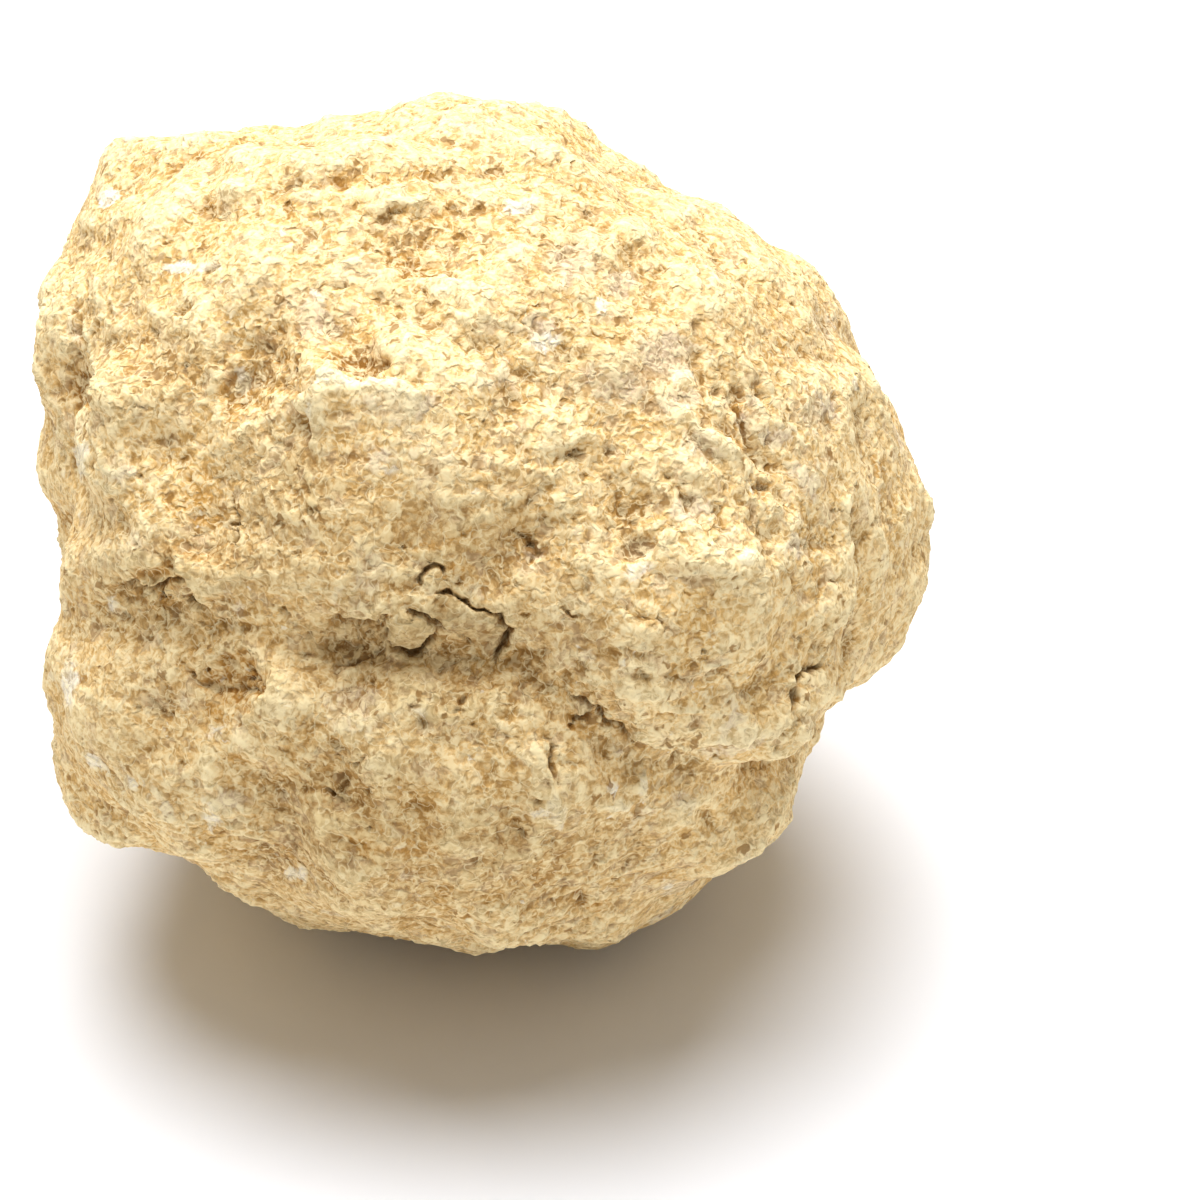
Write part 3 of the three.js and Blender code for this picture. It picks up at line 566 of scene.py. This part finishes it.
def crumble(points, pitted):
    """How far the bare surface stands out, in millimetres: layers, lumps, crumbs, grit and ragged pits."""
    drifted = (points + DRIFT_REACH * noise_at(points, noise.noise_vector, DRIFT_SIZE)) * BEDDING
    contour = sum(lines * noise_at(drifted, noise.noise, size) for lines, size in CONTOURS)
    layers = np.floor(contour) + smooth_step(*LAYER_STEP, contour % 1.0) - contour

    def lump(point):
        return noise.turbulence(point, LUMPINESS["octaves"], False)

    def crumb(point):
        distances, _ = noise.voronoi(point)
        return distances[0]

    def grain(point):
        return noise.turbulence(point, GRIT["octaves"], True)

    lumps = noise_at(drifted, lump, LUMPINESS["size"]) - LUMPINESS["mean"]
    crumbs = CRUMBS["mean"] - noise_at(drifted, crumb, CRUMBS["size"])
    grit = noise_at(drifted, grain, GRIT["size"]) - GRIT["mean"]
    relief = LAYER_HEIGHT * layers
    for kind, value in ((LUMPINESS, lumps), (CRUMBS, crumbs), (GRIT, grit)):
        relief = relief + kind["height"] * value

    patch = noise_at(points, noise.noise, ROUGH_PATCHES["size"], ROUGH_PATCHES["shift"])
    least = ROUGH_PATCHES["least"]
    rough = least + (1 - least) * smooth_step(ROUGH_PATCHES["low"], ROUGH_PATCHES["high"], patch)
    raggedness = noise_at(drifted, noise.noise, RAGGED_PITS["size"], RAGGED_PITS["shift"])
    raggedness = raggedness + PITTED_GAIN * pitted + GRIT_GAIN * grit
    pits = smooth_step(RAGGED_PITS["low"], RAGGED_PITS["high"], raggedness)
    return rough * relief - RAGGED_PITS["depth"] * pits


def striations(places):
    """How far the long, narrow ridges and grooves of the striated spot stand out."""
    across = np.array((-STRIATED_WAY[1], STRIATED_WAY[0]))
    run = places @ STRIATED_WAY / STRIATION_LENGTH
    spread = np.stack((run, places @ across / STRIATION_WIDTH, np.zeros(len(places))), axis=1)
    ridges = STRIATION_HEIGHT * noise_at(spread, noise.noise, 1.0)
    return ridges * spot_value(places, STRIATED_SPOT, FLAT_TOPPED)


def face_relief(places):
    """How far the ledges, hollows, lumps and flakes of the face stand out, and how deep its cracks go."""
    height = striations(places)
    for ledge in LEDGES:
        distance, side, taper = trace(places, ledge["route"])
        proud = smooth_step(-LEDGE_EDGE, LEDGE_EDGE, side * distance) - LEDGE_SINK
        height += ledge["step"] * taper * proud * np.exp(-((distance / ledge["reach"]) ** 2))
    for spot in HOLLOWS:
        height -= spot_value(places, spot, FLAT_TOPPED)
    for spot in LUMPS:
        height += spot_value(places, spot, ROUND)
    for flake in FLAKES:
        height += flake["lift"] * inside(places, flake["outline"])
    cut = np.zeros(len(places))
    for crack in CRACKS:
        distance, _, taper = trace(places, crack["route"])
        depth = crack["depth"] * (CRACK_END_SHARE + (1 - CRACK_END_SHARE) * taper)
        cut = np.maximum(cut, depth * np.exp(-((distance / crack["width"]) ** 2)))
    cut = np.maximum(cut, spots_value(places, PITS, ROUND))
    return height, cut


def write_stains_and_painted_shade(mesh, points, places, facing, cut):
    """Stores on the mesh how strongly each colour of the stone shows, and the painted shade of the dun spots
    and the cracks.
    """
    flaked = np.max([inside(places, flake["outline"]) for flake in FLAKES], axis=0)
    # The cracks get their brown and painted shade, stronger as the cut deepens, and the flakes a little of
    # the brown.
    crack = np.maximum(CRACK_STAIN_AND_SHADE * smooth_step(*CRACK_STAIN_AND_SHADE_DEPTHS, cut), FLAKE_STAIN * flaked)
    ochre = facing * spots_value(places, OCHRE_SPOTS, ROUND)
    mauve = facing * spots_value(places, MAUVE_SPOTS, ROUND)
    write_attribute(mesh, "crack", facing * crack)
    write_attribute(mesh, "tan", patches(points, TAN_PATCHES))
    write_attribute(mesh, "ochre", np.maximum(patches(points, OCHRE_PATCHES), ochre))
    write_attribute(mesh, "dun_and_shade", facing * spots_value(places, DUN_AND_SHADE_SPOTS, ROUND))
    write_attribute(mesh, "mauve", np.maximum(patches(points, MAUVE_PATCHES), mauve))
    write_attribute(mesh, "white", facing * spots_value(places, WHITE_SPOTS, FLAT_TOPPED))


def thinned(mesh, triangles):
    """The mesh with faces taken away where it is flattest, down to the number of triangles given."""
    dense = bpy.data.objects.new("stone_dense", mesh)
    link(dense)
    thin = dense.modifiers.new("thin", "DECIMATE")
    thin.ratio = triangles / sum(len(polygon.vertices) - 2 for polygon in mesh.polygons)
    return evaluated_mesh(dense)


def make_stone(source):
    """The CAD solid made fine and soft, then given its relief, its stains and its painted shade, and
    thinned.
    """
    mesh = remeshed(source)
    soften(mesh)
    split_beside_cracks(mesh)
    points = mesh_points(mesh)
    normals = mesh_normals(mesh)
    facing = facing_share(points, normals)
    wander = sum(reach * noise_at(points, noise.noise_vector, length) for reach, length in WANDERS)
    places = to_face(points) + wander[:, :2]

    form, cut = face_relief(places)
    calm = 1 - facing * spots_value(places, CALM_SPOTS, FLAT_TOPPED)
    pitted = facing * spots_value(places, PITTED_SPOTS, ROUND)
    height = calm * crumble(points, pitted) + facing * (form - cut)
    height *= smooth_step(0, FOOT_HEIGHT, points[:, 2])
    low, high = (np.array(corner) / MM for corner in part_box("geode"))
    moved = np.clip(points + normals * height[:, None], low, high)
    set_points(mesh, moved)

    edges = mesh_edges(mesh)
    # The material paints shade in the hollows and highlight on the heights that these measure.
    write_attribute(mesh, "relief", standing_out(moved, normals, edges, RELIEF_STEPS))
    write_attribute(mesh, "swell", standing_out(moved, normals, edges, SWELL_STEPS))
    write_attribute(mesh, "pitted", pitted)
    write_stains_and_painted_shade(mesh, points, places, facing, cut)
    mesh = thinned(mesh, TRIANGLES)
    for polygon in mesh.polygons:
        polygon.use_smooth = True
    stone = bpy.data.objects.new("geode_stone", mesh)
    link(stone)
    return stone


# The stone's material


class Nodes:
    """Short calls for building a node tree."""

    def __init__(self, tree):
        self.tree = tree

    def set(self, socket, value):
        """Links a socket to another socket, or gives it a plain value."""
        if isinstance(value, bpy.types.NodeSocket):
            self.tree.links.new(value, socket)
        else:
            socket.default_value = value

    def add(self, kind, inputs=None, **settings):
        """A new node with its settings and inputs. Inputs with names alike go by number."""
        node = self.tree.nodes.new(kind)
        for name, value in settings.items():
            setattr(node, name, value)
        for name, value in (inputs or {}).items():
            self.set(node.inputs[name], value)
        return node

    def math(self, operation, a, b=0.0):
        return self.add("ShaderNodeMath", {0: a, 1: b}, operation=operation).outputs[0]

    def vector(self, operation, inputs):
        return self.add("ShaderNodeVectorMath", inputs, operation=operation).outputs[0]

    def attribute(self, name):
        """A value that the mesh holds for each point."""
        return self.add("ShaderNodeAttribute", attribute_name=name).outputs["Fac"]

    def spread(self, value, low, high, to_high=1.0):
        """Maps low..high of value to 0..to_high, smoothly and held at the ends."""
        ends = {"Value": value, "From Min": low, "From Max": high, "To Min": 0.0, "To Max": to_high}
        return self.add("ShaderNodeMapRange", ends, interpolation_type="SMOOTHSTEP").outputs["Result"]

    def mix(self, factor, a, b, blend="MIX"):
        """Colour a with a share of colour b. Inputs 6 and 7 and output 2 are the node's colours."""
        node = self.add("ShaderNodeMix", {0: factor, 6: a, 7: b}, data_type="RGBA", blend_type=blend)
        return node.outputs[2]

    def noise(self, place, size, detail=3.0, roughness=0.6, output="Fac"):
        inputs = {"Vector": place, "Scale": 1 / size, "Detail": detail, "Roughness": roughness}
        return self.add("ShaderNodeTexNoise", inputs).outputs[output]

    def warped(self, place, size, reach):
        """The place moved about by up to half of the reach. A vector node's input 3 is its scale."""
        away = self.noise(place, size, detail=2.0, output="Color")
        away = self.vector("SUBTRACT", {0: away, 1: NOISE_MIDDLES})
        away = self.vector("SCALE", {0: away, 3: reach})
        return self.vector("ADD", {0: place, 1: away})


def colour(red, green, blue):
    """A colour from screen values of 0 to 255, which follow the sRGB curve."""
    linear = [((value / 255 + 0.055) / 1.055) ** 2.4 for value in (red, green, blue)]
    return (*linear, 1.0)


CREAM = colour(243, 206, 142)
TAN = colour(231, 188, 117)
PALE = colour(255, 237, 188)
# The dun colour: mostly painted shade, partly darker stone
DUN_AND_SHADE_COLOUR = colour(190, 152, 98)
OCHRE = colour(208, 158, 82)
MAUVE = colour(216, 196, 170)
WHITE = colour(254, 248, 232)
PIT_BROWN = colour(148, 106, 50)
# The brown of the cracks, partly painted shade
CRACK_BROWN_AND_SHADE = colour(104, 74, 32)
# What the stone's colour is multiplied by in the painted shade of the dun spots, and in the painted shade of
# its hollows and its darker tones
DUN_AND_SHADE_MULTIPLIER = (0.86, 0.8, 0.69, 1.0)
HOLLOW_SHADE = (0.57, 0.49, 0.35, 1.0)

# The middle value of a noise, and of each part of a noise's colour
NOISE_MIDDLE = 0.5
NOISE_MIDDLES = (NOISE_MIDDLE, NOISE_MIDDLE, NOISE_MIDDLE)
# How far the noises below are moved about, and over what length
WARP_REACH = 0.9
WARP_SIZE = 0.9
# The finest texture: the size of its grains, how rough they are, and how deep they look
GRAIN_SIZE = 0.65
GRAIN_ROUGHNESS = 0.7
BUMP = 0.11
# The noises of the texture: how fine each gets, and its values that become 0 and 1
BUMP_NOISE = {"detail": 1.0, "low": 0.3, "high": 0.7}
GRAIN_NOISE = {"detail": 4.0, "low": 0.34, "high": 0.66}
TONE_NOISE = {"size": 0.3, "detail": 0.0, "low": 0.2, "high": 0.8}
# Mottles of ochre and mauve lie where a noise is above and below its middle: where each starts and is full,
# and how strong it is
MOTTLE_SIZE = 1.3
OCHRE_MOTTLE = (0.02, 0.16, 0.4)
MAUVE_MOTTLE = (-0.02, -0.16, 0.45)
# The edges of stains are broken up by the same noise: how much of it is added, where the sum starts and is
# full, and how strong each stain is
STAIN_BREAKUP = 1.6
STAIN_ENDS = (0.25, 0.6)
STAINS = (("ochre", OCHRE, 0.85), ("mauve", MAUVE, 0.8), ("white", WHITE, 0.85))
# How strongly the dun colour, which is mostly painted shade, is mixed in
DUN_AND_SHADE_STRENGTH = 0.75
# Small white flecks lie where a noise is low, and small pits where it is high and in the pitted spots.
FLECK_SIZE = 1.0
FLECKS = (0.3, 0.24, 0.7)
PITTED_SHIFT = 0.11
SMALL_PITS = (0.64, 0.72, 0.8)
# Thin painted highlights, like lit crests, lie where a noise passes its middle.
CREST_HIGHLIGHT_SIZE = 1.2
CREST_HIGHLIGHTS = (0.03, 0.0, 0.5)
# What darkens the stone's hollows with painted shade and lightens its heights with painted highlight, for
# the relief, the swell and the grain, and darkens and lightens the tone noise's blotches: how far from its
# middle a value has its full effect, and how strong the shade and the light are
RELIEF_SHADING = (0.16, 0.85, 0.6)
SWELL_SHADING = (0.6, 0.5, 0.25)
GRAIN_SHADING = (0.4, 0.6, 0.55)
TONE_SHADING = (0.4, 0.3, 0.3)
STONE_ROUGHNESS = 0.92
STONE_SHINE = 0.2


def stone_material():
    """Crumbly stone: colours from noises and from what the mesh says, painted shade and highlights among
    them, and a bump for the finest grain.
    """
    material = bpy.data.materials.new("crumbly_stone")
    material.use_nodes = True
    material.node_tree.nodes.clear()
    nodes = Nodes(material.node_tree)
    place = nodes.add("ShaderNodeTexCoord").outputs["Object"]
    place = nodes.vector("SCALE", {0: place, 3: 1 / MM})
    warped = nodes.warped(place, WARP_SIZE, WARP_REACH)

    def texture(size, detail, low, high, roughness):
        """A warped noise, spread to 0..1."""
        return nodes.spread(nodes.noise(warped, size, detail, roughness), low, high)

    def shaded(base, value, middle, reach, shade, light):
        """The base, darker where the value is below its middle, and lighter where it is above: painted shade
        and highlight, for all but the tone.
        """
        base = nodes.mix(nodes.spread(value, middle, middle - reach, shade), base, HOLLOW_SHADE, "MULTIPLY")
        return nodes.mix(nodes.spread(value, middle, middle + reach, light), base, PALE)

    bumps = texture(GRAIN_SIZE, roughness=GRAIN_ROUGHNESS, **BUMP_NOISE)
    grain = texture(GRAIN_SIZE, roughness=GRAIN_ROUGHNESS, **GRAIN_NOISE)
    tone = texture(roughness=GRAIN_ROUGHNESS, **TONE_NOISE)
    mottle = nodes.math("SUBTRACT", nodes.noise(warped, MOTTLE_SIZE), NOISE_MIDDLE)
    flecks = nodes.noise(warped, FLECK_SIZE, detail=2.0)
    crest_highlights = nodes.math("SUBTRACT", nodes.noise(warped, CREST_HIGHLIGHT_SIZE, detail=1.0), NOISE_MIDDLE)
    dun_and_shade = nodes.attribute("dun_and_shade")

    base = nodes.mix(nodes.attribute("tan"), CREAM, TAN)
    # The dun spots' painted shade, partly darker stone: as a colour here, and as a multiplier after the
    # shading below
    base = nodes.mix(nodes.math("MULTIPLY", dun_and_shade, DUN_AND_SHADE_STRENGTH), base, DUN_AND_SHADE_COLOUR)
    base = nodes.mix(nodes.spread(mottle, *OCHRE_MOTTLE), base, OCHRE)
    base = nodes.mix(nodes.spread(mottle, *MAUVE_MOTTLE), base, MAUVE)
    for name, tint, strength in STAINS:
        broken = nodes.math("ADD", nodes.attribute(name), nodes.math("MULTIPLY", mottle, STAIN_BREAKUP))
        base = nodes.mix(nodes.spread(broken, *STAIN_ENDS, strength), base, tint)
    base = nodes.mix(nodes.spread(flecks, *FLECKS), base, WHITE)

    # Painted shade in the hollows and painted highlight on the heights of the relief and the swell
    base = shaded(base, nodes.attribute("relief"), 0.0, *RELIEF_SHADING)
    base = shaded(base, nodes.attribute("swell"), 0.0, *SWELL_SHADING)
    # Painted shade in the grain's hollows and painted highlight on its crests, which follow the bump; the
    # tone is random
    base = shaded(base, grain, NOISE_MIDDLE, *GRAIN_SHADING)
    base = shaded(base, tone, NOISE_MIDDLE, *TONE_SHADING)
    # Painted shade over the dun spots, on their heights too
    base = nodes.mix(dun_and_shade, base, DUN_AND_SHADE_MULTIPLIER, "MULTIPLY")
    # Painted highlights: thin pale lines like lit crests
    base = nodes.mix(nodes.spread(nodes.math("ABSOLUTE", crest_highlights), *CREST_HIGHLIGHTS), base, PALE)
    pits = nodes.math("ADD", flecks, nodes.math("MULTIPLY", nodes.attribute("pitted"), PITTED_SHIFT))
    base = nodes.mix(nodes.spread(pits, *SMALL_PITS), base, PIT_BROWN)
    # The cracks' brown and painted shade
    base = nodes.mix(nodes.attribute("crack"), base, CRACK_BROWN_AND_SHADE)

    bump = nodes.add("ShaderNodeBump", {"Height": bumps, "Strength": 1.0, "Distance": BUMP * MM})
    finish = {"Roughness": STONE_ROUGHNESS, "Specular IOR Level": STONE_SHINE, "Normal": bump.outputs[0]}
    shader = nodes.add("ShaderNodeBsdfPrincipled", {"Base Color": base, **finish})
    nodes.add("ShaderNodeOutputMaterial", {"Surface": shader.outputs[0]})
    return material


# Camera, light and floor


def make_camera():
    data = bpy.data.cameras.new("camera")
    data.sensor_width = SENSOR
    data.lens = LENS
    data.clip_start = CLIP_START * MM
    data.clip_end = CLIP_END * MM
    camera = bpy.data.objects.new("camera", data)
    turn = Matrix.Rotation(-CAMERA_RIGHT, 4, "Z") @ Matrix.Rotation(math.radians(90) - CAMERA_DOWN, 4, "X")
    camera.matrix_world = Matrix.Translation(Vector(CAMERA_PLACE) * MM) @ turn
    link(camera)
    bpy.context.scene.camera = camera


def make_light():
    data = bpy.data.lights.new("overhead", "AREA")
    data.shape = "DISK"
    data.size = LIGHT_WIDTH * MM
    data.energy = LIGHT_POWER
    data.color = LIGHT_TINT
    light = bpy.data.objects.new("overhead", data)
    light.location = LIGHT_PLACE * MM
    light.rotation_mode = "QUATERNION"
    light.rotation_quaternion = (LIGHT_AIM - LIGHT_PLACE).to_track_quat("-Z", "Y")
    link(light)


def make_sky():
    world = bpy.data.worlds.new("studio")
    world.use_nodes = True
    sky = world.node_tree.nodes["Background"]
    sky.inputs["Color"].default_value = SKY_TINT
    sky.inputs["Strength"].default_value = SKY_STRENGTH
    bpy.context.scene.world = world


def make_floor():
    floor = bpy.data.objects.new("floor", bpy.data.meshes.new("floor"))
    half = FLOOR_HALF_WIDTH * MM
    corners = [(-half, -half, 0), (half, -half, 0), (half, half, 0), (-half, half, 0)]
    floor.data.from_pydata(corners, [], [(0, 1, 2, 3)])
    material = bpy.data.materials.new("pale_floor")
    material.use_nodes = True
    shader = material.node_tree.nodes["Principled BSDF"]
    shader.inputs["Base Color"].default_value = (FLOOR_GREY, FLOOR_GREY, FLOOR_GREY, 1)
    shader.inputs["Roughness"].default_value = FLOOR_ROUGHNESS
    shader.inputs["Specular IOR Level"].default_value = 0
    floor.data.materials.append(material)
    link(floor)


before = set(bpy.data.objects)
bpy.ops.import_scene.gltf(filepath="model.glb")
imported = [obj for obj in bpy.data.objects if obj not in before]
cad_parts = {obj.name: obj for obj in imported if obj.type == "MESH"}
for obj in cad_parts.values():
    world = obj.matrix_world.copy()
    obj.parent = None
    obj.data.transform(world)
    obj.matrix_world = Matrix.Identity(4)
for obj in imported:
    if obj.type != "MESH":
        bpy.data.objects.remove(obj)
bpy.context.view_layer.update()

bpy.context.scene.view_settings.view_transform = "Standard"
make_camera()
make_light()
make_sky()
make_floor()
stone = make_stone(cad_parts["geode"])
stone.data.materials.append(stone_material())
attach(stone, "root")
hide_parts("geode")
